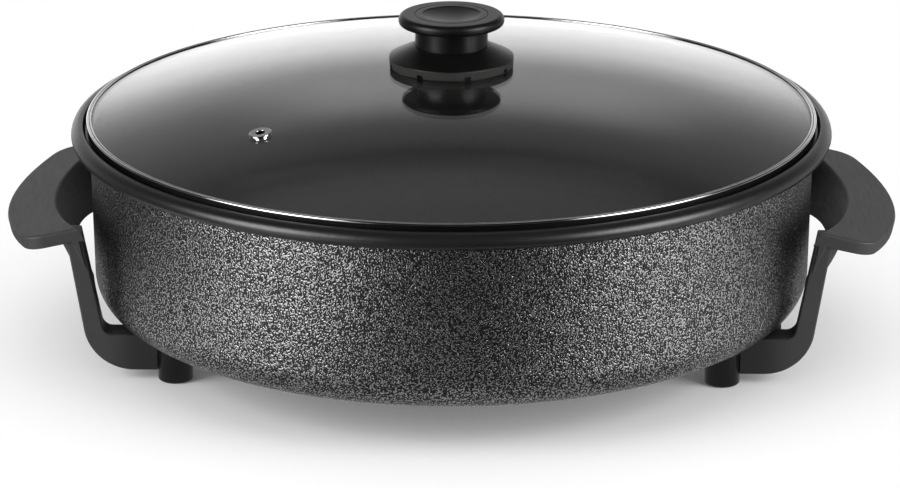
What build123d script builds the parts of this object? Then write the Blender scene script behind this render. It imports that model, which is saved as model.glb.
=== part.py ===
from build123d import *
import os
from math import asin, atan2, cos, degrees, radians, sin, sqrt, tan

# Electric party pan: a round aluminium pan with an element pressed into its underside,
# two moulded handles that run down into legs, four stub feet and a loose domed glass lid.
# Millimetres. Origin on the table under the middle of the pan, +Z up, handles along X.

# Pan body
underside_height = 26.0        # table to the flat underside
corner_radius = 18.0           # outside rounding between underside and wall
inner_corner_radius = 20.0     # inside rounding between floor and wall
wall_taper = 1.2               # how far the wall opens from underside to rim
wall_thickness = 2.4
floor_thickness = 3.0
rim_radius = 210.0             # widest line of the rim
rim_overhang = 10.0            # rim beyond the top of the wall
rim_widest_height = 122.0      # table to that line
rim_crown_radius = 5.5         # rounding above the widest line
rim_lip_radius = 3.2           # rounding below it
rim_inner_edge_radius = 0.6    # above the lid's seat
lid_seat_depth = 3.1           # step down from the rim's crest to the lid's seat
lid_seat_flare = 0.45          # outwards for each millimetre up
lid_seat_side_gap = 0.7        # around the lid's band
lid_rest_gap = 0.3             # between the band and its seat

# Heating element and its rib
element_inset = 83.8           # middle of the ring, in from the foot of the wall
element_lead = 39.0            # end of the sheath beyond the ring
element_tube_radius = 3.5
element_bend_radius = 16.0     # where the two cold ends leave the ring
element_rib_width = 15.0
element_rib_depth = 8.0        # rib below the underside
groove_clearance = 0.1

# Inlet for the plug-in thermostat, under the right handle
pin_spacing = 28.0
pin_radius = 2.4
pin_length = 17.0              # free length outside its bead
pin_tip_chamfer = 0.8
pin_root_radius = 2.0          # inside the bead
bead_radius = 4.6
bead_length = 8.0
fit_clearance = 0.1            # beads, sleeve and moulding
sleeve_bore_radius = 3.3
sleeve_wall = 0.8
sleeve_rib_gap = 2.0           # closed end beyond the element's rib
sleeve_end_wall = 2.0
sleeve_past_pins = 2.0         # mouth beyond the pin tips
saddle_guard_gap = 9.4         # saddle that holds the sleeve, to the guard
saddle_wall = 3.0
guard_half_width = 26.0
guard_wall = 2.5
guard_back_wall = 4.0
guard_back_from_bead = 2.0     # back wall from the start of the beads
guard_past_sleeve = 3.0        # mouth of the guard beyond the sleeve
guard_bottom_height = 8.0      # table to the guard
guard_top_gap = 0.3            # guard to the underside
guard_ear_length = 12.0
guard_ear_width = 13.0
guard_ear_thickness = 4.0
guard_boss_radius = 5.0
guard_boss_height = 6.0

# Handles, each one moulding: grip, guard wall and two legs with foot bars
grip_rim_gap = 10.2            # rim to the grip's inner edge, in the middle
grip_width = 26.7              # in the middle
grip_height = 82.9             # upper face at the inner edge, in the middle
grip_tilt = 12.4               # degrees, down towards the outside
grip_thickness = 7.6
grip_half_length = 82.5
grip_inner_arc = 169.7
grip_outer_arc = 185.0
grip_corner_radius = 14.0
grip_edge_radius = 1.4
guard_wall_thickness = 6.5     # wall below the grip's inner edge
guard_wall_lean = 0.476        # inwards for each millimetre down
arch_crown_drop = 22.9         # grip height to the wall's lower edge, in the middle
arch_spring_drop = 28.9        # and beside the legs
arch_corner_radius = 8.0
leg_end_inset = 1.5            # in from the end of the grip
leg_depth = 17.5               # along Y
leg_turn = 6.0                 # degrees, outwards from the handle's end towards its middle
leg_rim_inset = 12.35          # inner face at the grip's height, in from the rim
leg_width = 8.85               # at the grip's height
leg_inner_lean = 0.187         # inwards for each millimetre down
leg_outer_lean = 0.156
leg_inner_bend = 6.0
leg_outer_bend = 27.0
leg_edge_radius = 1.0
bar_bottom_height = 5.7

# Feet and the screws that hold them, the handles and the pan together
foot_wall_inset = 50.1         # middle of a foot, in from the foot of the wall
foot_end_inset = 3.0           # middle of a foot, in from the end of the leg
foot_radius = 9.8
foot_height = 18.0
foot_edge_radius = 1.5
foot_recess_radius = 5.6
foot_recess_depth = 7.0
foot_gap = 0.3                 # foot to the end of the bar
boss_radius = 5.0
boss_height = 4.0
boss_gap = 0.3
screw_radius = 2.45
screw_thread_gap = 0.05
screw_hole_gap = 0.3
screw_head_radius = 4.5
screw_head_height = 3.2
screw_slot_width = 1.1
screw_slot_depth = 1.4
screw_bite = 5.0               # thread in the pan
thread_end_room = 0.4
washer_radius = 5.0
washer_thickness = 1.0
guard_screw_radius = 1.95
guard_screw_head_radius = 3.6
guard_screw_head_height = 2.6

# Lid
band_rim_inset = 8.5           # outside of the steel band, in from the rim
band_width = 3.4
band_lip = 0.7                 # steel below the glass edge
band_crown = 1.0               # steel above the glass edge
band_edge_radius = 0.9
glass_band_inset = 1.4         # edge of the glass, in from the outside of the band
glass_thickness = 4.0
glass_rise = 27.65             # dome from its edge to its top
glass_gap = 0.1                # band, knob and vent to the glass
glass_hole_radius = 4.5
vent_radius_from_middle = 136.0
vent_angle = 223.0             # degrees about +Z from +X
vent_barrel_radius = 4.2
vent_bore_radius = 2.6
vent_flange_radius = 6.1
vent_flange_thickness = 0.6
vent_flange_rounding = 0.35

# Knob on the lid
gasket_radius = 10.0
gasket_thickness = 1.2
knob_base_radius = 34.5
knob_base_skirt = 5.0
knob_base_lean = 0.4           # skirt's lower edge, in from its upper edge
knob_base_neck_radius = 21.0
knob_base_height = 11.3        # skirt's lower edge to the knob
knob_base_wall = 2.5
knob_base_edge_radius = 0.8
hub_radius = 9.0
notch_count = 8
notch_width = 3.5
notch_height = 2.0
notch_offset = 16.0            # degrees from the front, -Y
knob_neck_radius = 20.0
knob_neck_height = 11.5
knob_cap_radius = 29.15
knob_cap_height = 6.0
knob_cap_top_rounding = 3.0
knob_cap_low_rounding = 2.4
knob_wall = 3.5
knob_hub_radius = 8.0
disc_radius = 20.2             # pressed-in top of the knob
disc_thickness = 2.6
disc_ring_width = 2.4
disc_dish_depth = 1.6
disc_edge_radius = 0.7
disc_gap = 0.1
insert_radius = 4.2
insert_length = 9.0
insert_gap = 0.05
insert_flange_radius = 5.6
insert_flange_thickness = 1.0
lid_washer_radius = 9.0
lid_screw_end_room = 1.0       # above the tip, inside the insert

# Levels and radii that several pieces share
wall_top_radius = rim_radius - rim_overhang
wall_low_radius = wall_top_radius - wall_taper
band_radius = rim_radius - band_rim_inset
band_inner_radius = band_radius - band_width
glass_radius = band_radius - glass_band_inset
floor_height = underside_height + floor_thickness
rim_low_height = rim_widest_height - rim_lip_radius
rim_crest_height = rim_widest_height + rim_crown_radius
lid_seat_height = rim_crest_height - lid_seat_depth
lid_seat_radius = band_radius + lid_seat_side_gap
lid_seat_top_radius = lid_seat_radius + lid_seat_flare * lid_seat_depth
element_height = underside_height - element_rib_depth
element_ring_radius = wall_low_radius - element_inset
bead_start = element_ring_radius + element_lead
pin_y = pin_spacing / 2
pin_start = bead_start + bead_length
pin_end = pin_start + pin_length
sleeve_radius = sleeve_bore_radius + sleeve_wall
sleeve_start = element_ring_radius + element_rib_width / 2 + sleeve_rib_gap
sleeve_mouth = pin_end + sleeve_past_pins
guard_back = bead_start + guard_back_from_bead
guard_mouth = sleeve_mouth + guard_past_sleeve
guard_top = underside_height - guard_top_gap
guard_ear_y = guard_half_width + guard_ear_length / 2
guard_ear_x = guard_back + guard_ear_width / 2
guard_ear_top = underside_height - guard_boss_height
grip_inner_reach = rim_radius + grip_rim_gap
grip_outer_reach = grip_inner_reach + grip_width
leg_inner_reach = rim_radius - leg_rim_inset
leg_outer_reach = leg_inner_reach + leg_width
leg_drift = leg_depth * tan(radians(leg_turn))
foot_x = wall_low_radius - foot_wall_inset
leg_end_y = grip_half_length - leg_end_inset
foot_y = leg_end_y - foot_end_inset
foot_places = [(sx * foot_x, sy * foot_y) for sx in (-1, 1) for sy in (-1, 1)]
guard_screw_places = [(guard_ear_x, side * guard_ear_y) for side in (-1, 1)]
lug_clear_height = underside_height - boss_height - boss_gap

# Lid levels, built up from the seat
band_low_height = lid_seat_height + lid_rest_gap
glass_dome_radius = (glass_radius ** 2 + glass_rise ** 2) / (2 * glass_rise)
glass_edge_slope = asin(glass_radius / glass_dome_radius)
glass_edge_height = band_low_height + band_lip + glass_gap + glass_thickness / cos(glass_edge_slope)
glass_top_height = glass_edge_height + glass_rise
glass_centre_height = glass_top_height - glass_dome_radius
band_top_height = glass_edge_height + band_crown
glass_under_height = glass_top_height - glass_thickness


def glass_height(radius):
    """Height of the glass's upper face at a distance from the lid's axis."""
    return glass_centre_height + sqrt(glass_dome_radius ** 2 - radius ** 2)


knob_base_low_radius = knob_base_radius - knob_base_lean
knob_base_low = glass_height(knob_base_low_radius - knob_base_wall) + glass_gap
gasket_low = glass_top_height
hub_low = gasket_low + gasket_thickness
knob_low = knob_base_low + knob_base_height
knob_cap_low = knob_low + knob_neck_height
knob_top = knob_cap_low + knob_cap_height
disc_low = knob_top - disc_thickness
lower_gasket_low = glass_under_height - glass_gap - gasket_thickness
lid_washer_low = lower_gasket_low - washer_thickness
insert_top = knob_low + insert_length


def lathe(outline):
    """Solid of revolution about Z from a face drawn with radius across and height up."""
    return revolve(Plane.XZ * outline, axis=Axis.Z)


def corner(face, across, up):
    """The corner of a drawn face that lies at a point."""
    return face.vertices().sort_by_distance(Vector(across, up))[0]


def ring(inner, outer, low, high):
    """Plain tube about Z."""
    outline = make_face(Polyline((inner, low), (outer, low), (outer, high), (inner, high), close=True))
    return lathe(outline)


def rod(radius, low, high, place=(0, 0)):
    """Plain upright cylinder."""
    return Pos(place[0], place[1], low) * extrude(Circle(radius), high - low)


def rod_along_x(radius, start, end, y, z):
    """Plain cylinder along X."""
    return Plane(origin=(start, y, z), z_dir=(1, 0, 0)) * extrude(Circle(radius), end - start)


def block(x, y, z):
    """Box from three (low, high) pairs."""
    size = [high - low for low, high in (x, y, z)]
    middle = [(high + low) / 2 for low, high in (x, y, z)]
    return Pos(*middle) * Box(*size)


def slotted_screw(radius, head_radius, head_height, shank_length):
    """Pan head screw with its head below Z = 0 and its shank above."""
    head = ring(0, head_radius, -head_height, 0)
    head = fillet(head.edges().group_by(Axis.Z)[0], head_height / 3)
    slot = Pos(0, 0, -head_height) * Box(2 * head_radius, screw_slot_width, 2 * screw_slot_depth)
    shank = rod(radius, 0, shank_length)
    shank = chamfer(shank.edges().group_by(Axis.Z)[-1], radius / 4)
    return head - slot + shank


def element_path():
    """Line of the element: a cold end, a bend, the open ring and the same back again."""
    bend_y = pin_y + element_bend_radius
    bend_x = sqrt((element_ring_radius + element_bend_radius) ** 2 - bend_y ** 2)
    turn = degrees(atan2(bend_y, bend_x))
    lead_in = Line((bead_start, pin_y), (bend_x, pin_y))
    bend_in = CenterArc((bend_x, bend_y), element_bend_radius, -90, turn - 90)
    open_ring = CenterArc((0, 0), element_ring_radius, turn, 360 - 2 * turn)
    bend_out = CenterArc((bend_x, -bend_y), element_bend_radius, 180 - turn, turn - 90)
    lead_out = Line((bend_x, -pin_y), (bead_start, -pin_y))
    return Pos(0, 0, element_height) * Wire([lead_in, bend_in, open_ring, bend_out, lead_out])


def element_tube(radius):
    """Round tube of a given radius along the element's line."""
    path = element_path()
    start = Plane(origin=path @ 0, z_dir=path % 0)
    return sweep(start * Circle(radius), path=path)


def pan_body():
    """Turned pan with rim, element rib and screw bosses."""
    sides = Polyline(
        (0, underside_height),
        (wall_low_radius, underside_height),
        (wall_top_radius, rim_low_height),
        (rim_radius - rim_lip_radius, rim_low_height),
    )
    lip = CenterArc((rim_radius - rim_lip_radius, rim_widest_height), rim_lip_radius, -90, 90)
    crown = CenterArc((rim_radius - rim_crown_radius, rim_widest_height), rim_crown_radius, 0, 90)
    inside = Polyline(
        (rim_radius - rim_crown_radius, rim_crest_height),
        (lid_seat_top_radius, rim_crest_height),
        (lid_seat_radius, lid_seat_height),
        (wall_top_radius - wall_thickness, lid_seat_height),
        (wall_low_radius - wall_thickness, floor_height),
        (0, floor_height),
        (0, underside_height),
    )
    outline = make_face(Curve() + [sides, lip, crown, inside])
    outline = fillet(corner(outline, wall_low_radius, underside_height), corner_radius)
    outline = fillet(corner(outline, wall_low_radius - wall_thickness, floor_height), inner_corner_radius)
    outline = fillet(corner(outline, wall_top_radius, rim_low_height), rim_lip_radius / 2)
    outline = fillet(corner(outline, lid_seat_top_radius, rim_crest_height), rim_inner_edge_radius)
    body = lathe(outline)

    half_rib = element_rib_width / 2
    rib_inner = element_ring_radius - half_rib
    rib_outer = element_ring_radius + half_rib
    body += ring(rib_inner, rib_outer, element_height, underside_height)
    for place in foot_places:
        body += rod(boss_radius, underside_height - boss_height, underside_height, place)
    for place in guard_screw_places:
        body += rod(guard_boss_radius, guard_ear_top, underside_height, place)

    body -= element_tube(element_tube_radius + groove_clearance)
    for place in foot_places:
        low = underside_height - boss_height
        body -= rod(screw_radius + screw_thread_gap, low, low + screw_bite + thread_end_room, place)
    for place in guard_screw_places:
        hole_top = guard_ear_top + screw_bite + thread_end_room
        body -= rod(guard_screw_radius + screw_thread_gap, guard_ear_top, hole_top, place)
    return body


def terminal_beads():
    """Two ceramic beads at the ends of the sheath."""
    beads = []
    for side in (-1, 1):
        bead = rod_along_x(bead_radius, bead_start, pin_start, side * pin_y, element_height)
        hole_radius = pin_root_radius + fit_clearance
        hole = rod_along_x(hole_radius, bead_start, pin_start, side * pin_y, element_height)
        beads.append(bead - hole)
    return Compound(children=beads)


def terminal_pins():
    """Two stepped contact pins, thin inside their beads."""
    pins = []
    for side in (-1, 1):
        root = rod_along_x(pin_root_radius, bead_start, pin_start, side * pin_y, element_height)
        contact = rod_along_x(pin_radius, pin_start, pin_end, side * pin_y, element_height)
        contact = chamfer(contact.edges().group_by(Axis.X)[-1], pin_tip_chamfer)
        pins.append(root + contact)
    return Compound(children=pins)


def probe_sleeve():
    """Closed tube that takes the thermostat's probe."""
    tube = rod_along_x(sleeve_radius, sleeve_start, sleeve_mouth, 0, element_height)
    bore_start = sleeve_start + sleeve_end_wall
    return tube - rod_along_x(sleeve_bore_radius, bore_start, sleeve_mouth, 0, element_height)


def sleeve_saddle():
    """Block brazed to the underside, bored for the sleeve."""
    reach = sleeve_radius + saddle_wall
    saddle = block(
        (sleeve_start, guard_back - saddle_guard_gap),
        (-reach, reach),
        (element_height - reach, underside_height),
    )
    return saddle - rod_along_x(sleeve_radius + fit_clearance, sleeve_start, guard_back, 0, element_height)


def inlet_guard():
    """Moulded shroud round the pins, open outwards, with two screw ears."""
    shroud = block(
        (guard_back, guard_mouth), (-guard_half_width, guard_half_width), (guard_bottom_height, guard_top)
    )
    inner_half = guard_half_width - guard_wall
    shroud -= block(
        (guard_back + guard_back_wall, guard_mouth),
        (-inner_half, inner_half),
        (guard_bottom_height + guard_wall, guard_top - guard_wall),
    )
    ear_reach = guard_half_width + guard_ear_length
    ears = block(
        (guard_back, guard_back + guard_ear_width),
        (-ear_reach, ear_reach),
        (guard_ear_top - guard_ear_thickness, guard_ear_top),
    )
    ears -= block(
        (guard_back, guard_mouth), (-inner_half, inner_half), (guard_bottom_height, guard_top)
    )
    shroud += ears
    for side in (-1, 1):
        hole_radius = bead_radius + fit_clearance
        shroud -= rod_along_x(hole_radius, guard_back, pin_start, side * pin_y, element_height)
    shroud -= rod_along_x(sleeve_radius + fit_clearance, guard_back, pin_start, 0, element_height)
    for place in guard_screw_places:
        low = guard_ear_top - guard_ear_thickness
        shroud -= rod(guard_screw_radius + screw_hole_gap, low, guard_ear_top, place)
    return shroud


def guard_screws():
    """Two screws through the guard's ears."""
    low = guard_ear_top - guard_ear_thickness
    screw = slotted_screw(
        guard_screw_radius, guard_screw_head_radius, guard_screw_head_height, guard_ear_thickness + screw_bite
    )
    return Compound(children=[Pos(x, y, low) * screw for x, y in guard_screw_places])


def grip_plane():
    """Plane of the grip's upper face, its x axis down the slope and outwards."""
    tilt = radians(grip_tilt)
    return Plane(
        origin=(grip_inner_reach, 0, grip_height),
        x_dir=(cos(tilt), 0, -sin(tilt)),
        z_dir=(sin(tilt), 0, cos(tilt)),
    )


def arc_end(middle, arc):
    """Where an arc about the pan's side ends, when its middle and its radius are given."""
    return middle - arc + sqrt(arc ** 2 - grip_half_length ** 2)


def crescent(inner_arc, outer_middle, outer_arc):
    """Flat strip between two arcs, cut straight at the handle's ends."""
    inner_end = arc_end(0, inner_arc)
    outer_end = arc_end(outer_middle, outer_arc)
    edges = [
        ThreePointArc((inner_end, -grip_half_length), (0, 0), (inner_end, grip_half_length)),
        Line((inner_end, grip_half_length), (outer_end, grip_half_length)),
        ThreePointArc((outer_end, grip_half_length), (outer_middle, 0), (outer_end, -grip_half_length)),
        Line((outer_end, -grip_half_length), (inner_end, -grip_half_length)),
    ]
    return make_face(Curve() + edges)


def leg_face_at(reach, lean, height):
    """Distance from the middle of the pan to a leaning leg face at a height."""
    return reach - lean * (grip_height - height)


def grip_and_wall():
    """Crescent grip with the leaning wall below its inner edge, arched between the legs."""
    tilt = radians(grip_tilt)
    width = grip_width / cos(tilt)
    outline = crescent(grip_inner_arc, width, grip_outer_arc)
    for side in (-1, 1):
        outer_corner = corner(outline, arc_end(width, grip_outer_arc), side * grip_half_length)
        outline = fillet(outer_corner, grip_corner_radius)
    plate = extrude(outline, -grip_thickness)
    lower_edges = plate.faces().sort_by(Axis.Z)[0].edges().sort_by_distance((0, 0, -grip_thickness))
    plate = fillet(lower_edges[1:], grip_edge_radius)

    lean_in = sin(tilt) - guard_wall_lean * cos(tilt)
    lean_down = -cos(tilt) - guard_wall_lean * sin(tilt)
    slant = Vector(lean_in, 0, lean_down)
    drop = arch_spring_drop + arch_corner_radius
    strip = crescent(grip_inner_arc, guard_wall_thickness, grip_inner_arc)
    grip = plate + extrude(strip, drop * slant.length, dir=slant.normalized())
    grip = fillet(grip.faces().sort_by(Axis.Z)[-1].edges(), grip_edge_radius)
    grip = grip_plane() * grip

    tip_height = grip_height - arc_end(0, grip_inner_arc) * sin(tilt) - grip_thickness * cos(tilt)
    low_end, high_end = [
        (leg_face_at(leg_inner_reach + leg_drift, leg_inner_lean, height), height)
        for height in (0, tip_height)
    ]
    inside_legs = make_face(Polyline((0, 0), low_end, high_end, (0, tip_height), close=True))
    grip -= extrude(Plane.XZ * inside_legs, grip_half_length, both=True)

    spring = leg_end_y - leg_depth
    spring_height = grip_height - arch_spring_drop
    crown_height = grip_height - arch_crown_drop
    sides = Polyline((spring, spring_height), (spring, 0), (-spring, 0), (-spring, spring_height))
    crown = ThreePointArc((-spring, spring_height), (0, crown_height), (spring, spring_height))
    arch = make_face(Curve() + [sides, crown])
    for side in (-1, 1):
        arch = fillet(corner(arch, side * spring, spring_height), arch_corner_radius)
    return grip - extrude(Plane.YZ * arch, grip_outer_reach)


def leg(side):
    """One leg of the right handle: strap, bend and foot bar, with a lug over the foot."""
    top = grip_height
    bar_end = foot_x + sqrt(foot_radius ** 2 - (leg_end_y - foot_y) ** 2)
    inner_low = leg_face_at(leg_inner_reach, leg_inner_lean, underside_height)
    outer_low = leg_face_at(leg_outer_reach, leg_outer_lean, bar_bottom_height)
    outline = make_face(
        Polyline(
            (leg_inner_reach, top),
            (inner_low, underside_height),
            (foot_x, underside_height),
            (foot_x, bar_bottom_height),
            (outer_low, bar_bottom_height),
            (leg_outer_reach, top),
            close=True,
        )
    )
    outline = fillet(corner(outline, inner_low, underside_height), leg_inner_bend)
    outline = fillet(corner(outline, outer_low, bar_bottom_height), leg_outer_bend)
    turn = radians(leg_turn)
    strap = extrude(Plane.XZ * outline, leg_depth / cos(turn), dir=(sin(turn), -cos(turn), 0))
    flat_faces = strap.faces().filter_by(Axis.Y)
    long_edges = [e for f in flat_faces for e in f.edges() if e.center().X > bar_end]
    long_edges = [e for e in long_edges if e.center().Z < top - grip_edge_radius]
    strap = fillet(long_edges, leg_edge_radius)
    strap = Pos(0, leg_end_y, 0) * strap

    lug = rod(foot_radius, foot_height, underside_height, (foot_x, foot_y))
    strap += lug
    strap -= rod(foot_radius + foot_gap, 0, foot_height, (foot_x, foot_y))
    strap -= block((0, bar_end), (0, 2 * grip_half_length), (0, foot_height))
    strap -= rod(boss_radius + boss_gap, lug_clear_height, underside_height, (foot_x, foot_y))
    strap -= rod(screw_radius + screw_hole_gap, foot_height, underside_height, (foot_x, foot_y))
    return strap if side > 0 else mirror(strap, about=Plane.XZ)


def right_handle():
    """Grip, wall and two legs in one moulding."""
    handle = grip_and_wall()
    for side in (-1, 1):
        handle += leg(side)
    return handle


def foot(place):
    """Stub foot with a recess for its screw."""
    stub = rod(foot_radius, 0, foot_height, place)
    stub = fillet(stub.edges().group_by(Axis.Z)[0], foot_edge_radius)
    stub -= rod(foot_recess_radius, 0, foot_recess_depth, place)
    return stub - rod(screw_radius + screw_hole_gap, 0, foot_height, place)


def foot_screws():
    """Four screws from the feet up into the pan's bosses."""
    head_top = foot_recess_depth - washer_thickness
    length = underside_height - boss_height + screw_bite - head_top
    screw = slotted_screw(screw_radius, screw_head_radius, screw_head_height, length)
    return Compound(children=[Pos(x, y, head_top) * screw for x, y in foot_places])


def foot_washers():
    """Four plain washers under the screw heads."""
    low = foot_recess_depth - washer_thickness
    washer = ring(screw_radius + screw_hole_gap, washer_radius, low, foot_recess_depth)
    return Compound(children=[Pos(x, y, 0) * washer for x, y in foot_places])


def dome(outer, inner, edge):
    """Part of a hollow ball about the lid's centre of curvature, cut off at a radius."""
    reach = edge * tan(asin(edge / outer))
    shell = Sphere(outer) - Sphere(inner)
    keep = Pos(0, 0, outer) * Cylinder(edge, 2 * (glass_rise + glass_thickness + reach))
    return Pos(0, 0, glass_centre_height) * (shell & keep)


def vent_plane():
    """Plane on the glass at the vent, its z axis square to the glass."""
    angle = radians(vent_angle)
    along = Vector(cos(angle), sin(angle), 0) * vent_radius_from_middle
    surface = Vector(along.X, along.Y, glass_height(vent_radius_from_middle))
    return Plane(origin=surface, z_dir=surface - Vector(0, 0, glass_centre_height))


def lid_glass():
    """Domed glass with holes for the knob's screw and the vent."""
    glass = dome(glass_dome_radius, glass_dome_radius - glass_thickness, glass_radius)
    glass -= rod(glass_hole_radius, glass_under_height - glass_thickness, glass_top_height + glass_thickness)
    through = 2 * glass_thickness
    vent_hole = vent_plane() * Pos(0, 0, -through) * extrude(
        Circle(vent_barrel_radius + glass_gap), 2 * through
    )
    return glass - vent_hole


def lid_band():
    """Steel band rolled round the glass edge."""
    outline = make_face(
        Polyline(
            (band_inner_radius, band_low_height),
            (band_radius, band_low_height),
            (band_radius, band_top_height),
            (band_inner_radius, band_top_height),
            close=True,
        )
    )
    for height in (band_low_height, band_top_height):
        outline = fillet(corner(outline, band_radius, height), band_edge_radius)
    glass_room = dome(
        glass_dome_radius + glass_gap,
        glass_dome_radius - glass_thickness - glass_gap,
        glass_radius + glass_gap,
    )
    return lathe(outline) - glass_room


def vent_eyelet():
    """Steel eyelet, flanged above and below the glass."""
    low = -glass_thickness - glass_gap
    barrel = ring(vent_bore_radius, vent_barrel_radius, low, 0)
    upper = ring(vent_bore_radius, vent_flange_radius, 0, vent_flange_thickness)
    upper = fillet(upper.edges().group_by(Axis.Z)[-1], vent_flange_rounding)
    lower = ring(vent_bore_radius, vent_flange_radius, low - vent_flange_thickness, low)
    lower = fillet(lower.edges().group_by(Axis.Z)[0], vent_flange_rounding)
    return vent_plane() * (barrel + upper + lower)


def knob_base():
    """Hollow rosette under the knob, with notches in its skirt."""
    skirt_top = knob_base_low + knob_base_skirt
    outline = make_face(
        Polyline(
            (screw_radius + screw_hole_gap, hub_low),
            (hub_radius, hub_low),
            (hub_radius, knob_low - knob_base_wall),
            (knob_base_neck_radius, knob_low - knob_base_wall),
            (knob_base_radius - knob_base_wall, skirt_top - knob_base_wall),
            (knob_base_low_radius - knob_base_wall, knob_base_low),
            (knob_base_low_radius, knob_base_low),
            (knob_base_radius, skirt_top),
            (knob_base_neck_radius, knob_low),
            (screw_radius + screw_hole_gap, knob_low),
            close=True,
        )
    )
    outline = fillet(corner(outline, knob_base_radius, skirt_top), knob_base_edge_radius)
    base = lathe(outline)
    reach = knob_base_low_radius - knob_base_wall / 2
    for number in range(notch_count):
        angle = notch_offset - 90 + number * 360 / notch_count
        notch = Pos(reach, 0, knob_base_low) * Box(2 * knob_base_wall, notch_width, 2 * notch_height)
        base -= Rot(0, 0, angle) * notch
    return base


def knob_grip():
    """Moulded knob: neck and cap, hollow round the hub of its insert, with a recess on top."""
    roof = disc_low - disc_gap - knob_wall
    outline = make_face(
        Polyline(
            (insert_radius + insert_gap, knob_low + insert_flange_thickness),
            (knob_hub_radius, knob_low + insert_flange_thickness),
            (knob_hub_radius, roof),
            (knob_neck_radius - knob_wall, roof),
            (knob_neck_radius - knob_wall, knob_low),
            (knob_neck_radius, knob_low),
            (knob_neck_radius, knob_cap_low),
            (knob_cap_radius, knob_cap_low),
            (knob_cap_radius, knob_top),
            (disc_radius + disc_gap, knob_top),
            (disc_radius + disc_gap, disc_low),
            (0, disc_low),
            (0, insert_top + insert_gap),
            (insert_radius + insert_gap, insert_top + insert_gap),
            close=True,
        )
    )
    outline = fillet(corner(outline, knob_cap_radius, knob_top), knob_cap_top_rounding)
    outline = fillet(corner(outline, knob_cap_radius, knob_cap_low), knob_cap_low_rounding)
    return lathe(outline)


def knob_disc():
    """Dished disc with a raised ring, pressed into the top of the knob."""
    dish_radius = disc_radius - disc_ring_width
    low_point = knob_top - disc_dish_depth
    dish_curve = (dish_radius ** 2 + disc_dish_depth ** 2) / (2 * disc_dish_depth)
    halfway = dish_radius / 2
    halfway_height = low_point + dish_curve - sqrt(dish_curve ** 2 - halfway ** 2)
    sides = Polyline(
        (0, low_point),
        (0, disc_low),
        (disc_radius, disc_low),
        (disc_radius, knob_top),
        (dish_radius, knob_top),
    )
    dish = ThreePointArc((dish_radius, knob_top), (halfway, halfway_height), (0, low_point))
    outline = make_face(Curve() + [sides, dish])
    outline = fillet(corner(outline, disc_radius, knob_top), disc_edge_radius)
    outline = fillet(corner(outline, dish_radius, knob_top), disc_edge_radius)
    return lathe(outline)


def knob_insert():
    """Brass insert moulded into the knob."""
    bore = screw_radius + screw_thread_gap
    flange = ring(bore, insert_flange_radius, knob_low, knob_low + insert_flange_thickness)
    return flange + ring(bore, insert_radius, knob_low + insert_flange_thickness, insert_top)


def knob_screw():
    """Screw from under the glass up into the knob's insert."""
    length = insert_top - lid_screw_end_room - lid_washer_low
    screw = slotted_screw(screw_radius, screw_head_radius, screw_head_height, length)
    return Pos(0, 0, lid_washer_low) * screw


def lid_seal(low, thickness, radius):
    """Flat washer round the knob's screw."""
    return ring(screw_radius + screw_hole_gap, radius, low, low + thickness)


def main():
    right = right_handle()
    nodes = {
        "pan_body": pan_body(),
        "heating_element": element_tube(element_tube_radius),
        "terminal_beads": terminal_beads(),
        "terminal_pins": terminal_pins(),
        "probe_sleeve": probe_sleeve(),
        "sleeve_saddle": sleeve_saddle(),
        "inlet_guard": inlet_guard(),
        "guard_screws": guard_screws(),
        "handle_right": right,
        "handle_left": mirror(right, about=Plane.YZ),
        "foot_screws": foot_screws(),
        "foot_washers": foot_washers(),
        "lid_glass": lid_glass(),
        "lid_band": lid_band(),
        "vent_eyelet": vent_eyelet(),
        "knob_base": knob_base(),
        "knob_grip": knob_grip(),
        "knob_disc": knob_disc(),
        "knob_insert": knob_insert(),
        "knob_screw": knob_screw(),
        "knob_gasket": lid_seal(gasket_low, gasket_thickness, gasket_radius),
        "knob_lower_gasket": lid_seal(lower_gasket_low, gasket_thickness, gasket_radius),
        "knob_washer": lid_seal(lid_washer_low, washer_thickness, lid_washer_radius),
    }
    for x, y in foot_places:
        depth_name = "front" if y < 0 else "rear"
        side_name = "left" if x < 0 else "right"
        nodes[f"foot_{depth_name}_{side_name}"] = foot((x, y))

    os.makedirs("parts", exist_ok=True)
    for name, solid in nodes.items():
        export_step(solid, f"parts/{name}.step")


main()
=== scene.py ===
"""Looks of an electric party pan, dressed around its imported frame.

Lengths are in metres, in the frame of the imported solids: the origin lies on the table
under the middle of the pan, +Z points up and the handles lie along X.
"""

import math

import bmesh
import bpy
import numpy as np
from bpy.props import FloatProperty, FloatVectorProperty, PointerProperty
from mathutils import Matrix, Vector


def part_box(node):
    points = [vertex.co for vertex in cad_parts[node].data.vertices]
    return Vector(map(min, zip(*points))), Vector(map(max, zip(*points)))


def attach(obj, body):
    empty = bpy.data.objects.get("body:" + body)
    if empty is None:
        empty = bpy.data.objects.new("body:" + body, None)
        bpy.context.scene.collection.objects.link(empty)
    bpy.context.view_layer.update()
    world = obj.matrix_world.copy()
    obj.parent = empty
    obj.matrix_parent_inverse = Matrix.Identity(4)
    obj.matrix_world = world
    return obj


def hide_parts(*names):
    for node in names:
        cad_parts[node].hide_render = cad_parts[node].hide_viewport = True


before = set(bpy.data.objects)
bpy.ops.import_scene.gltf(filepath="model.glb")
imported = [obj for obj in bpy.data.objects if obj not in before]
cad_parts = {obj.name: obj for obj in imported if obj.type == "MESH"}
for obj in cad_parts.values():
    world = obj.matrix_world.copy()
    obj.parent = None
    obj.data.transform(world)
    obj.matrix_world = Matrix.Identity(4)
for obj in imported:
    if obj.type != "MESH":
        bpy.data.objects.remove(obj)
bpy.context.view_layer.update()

bl_info = {
    "name": "Party pan looks",
    "version": (1, 0, 0),
    "blender": (4, 5, 0),
    "location": "View3D > Sidebar > Party pan",
    "description": "Finishes, stage, light and camera for the electric party pan",
    "category": "Object",
}

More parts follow.
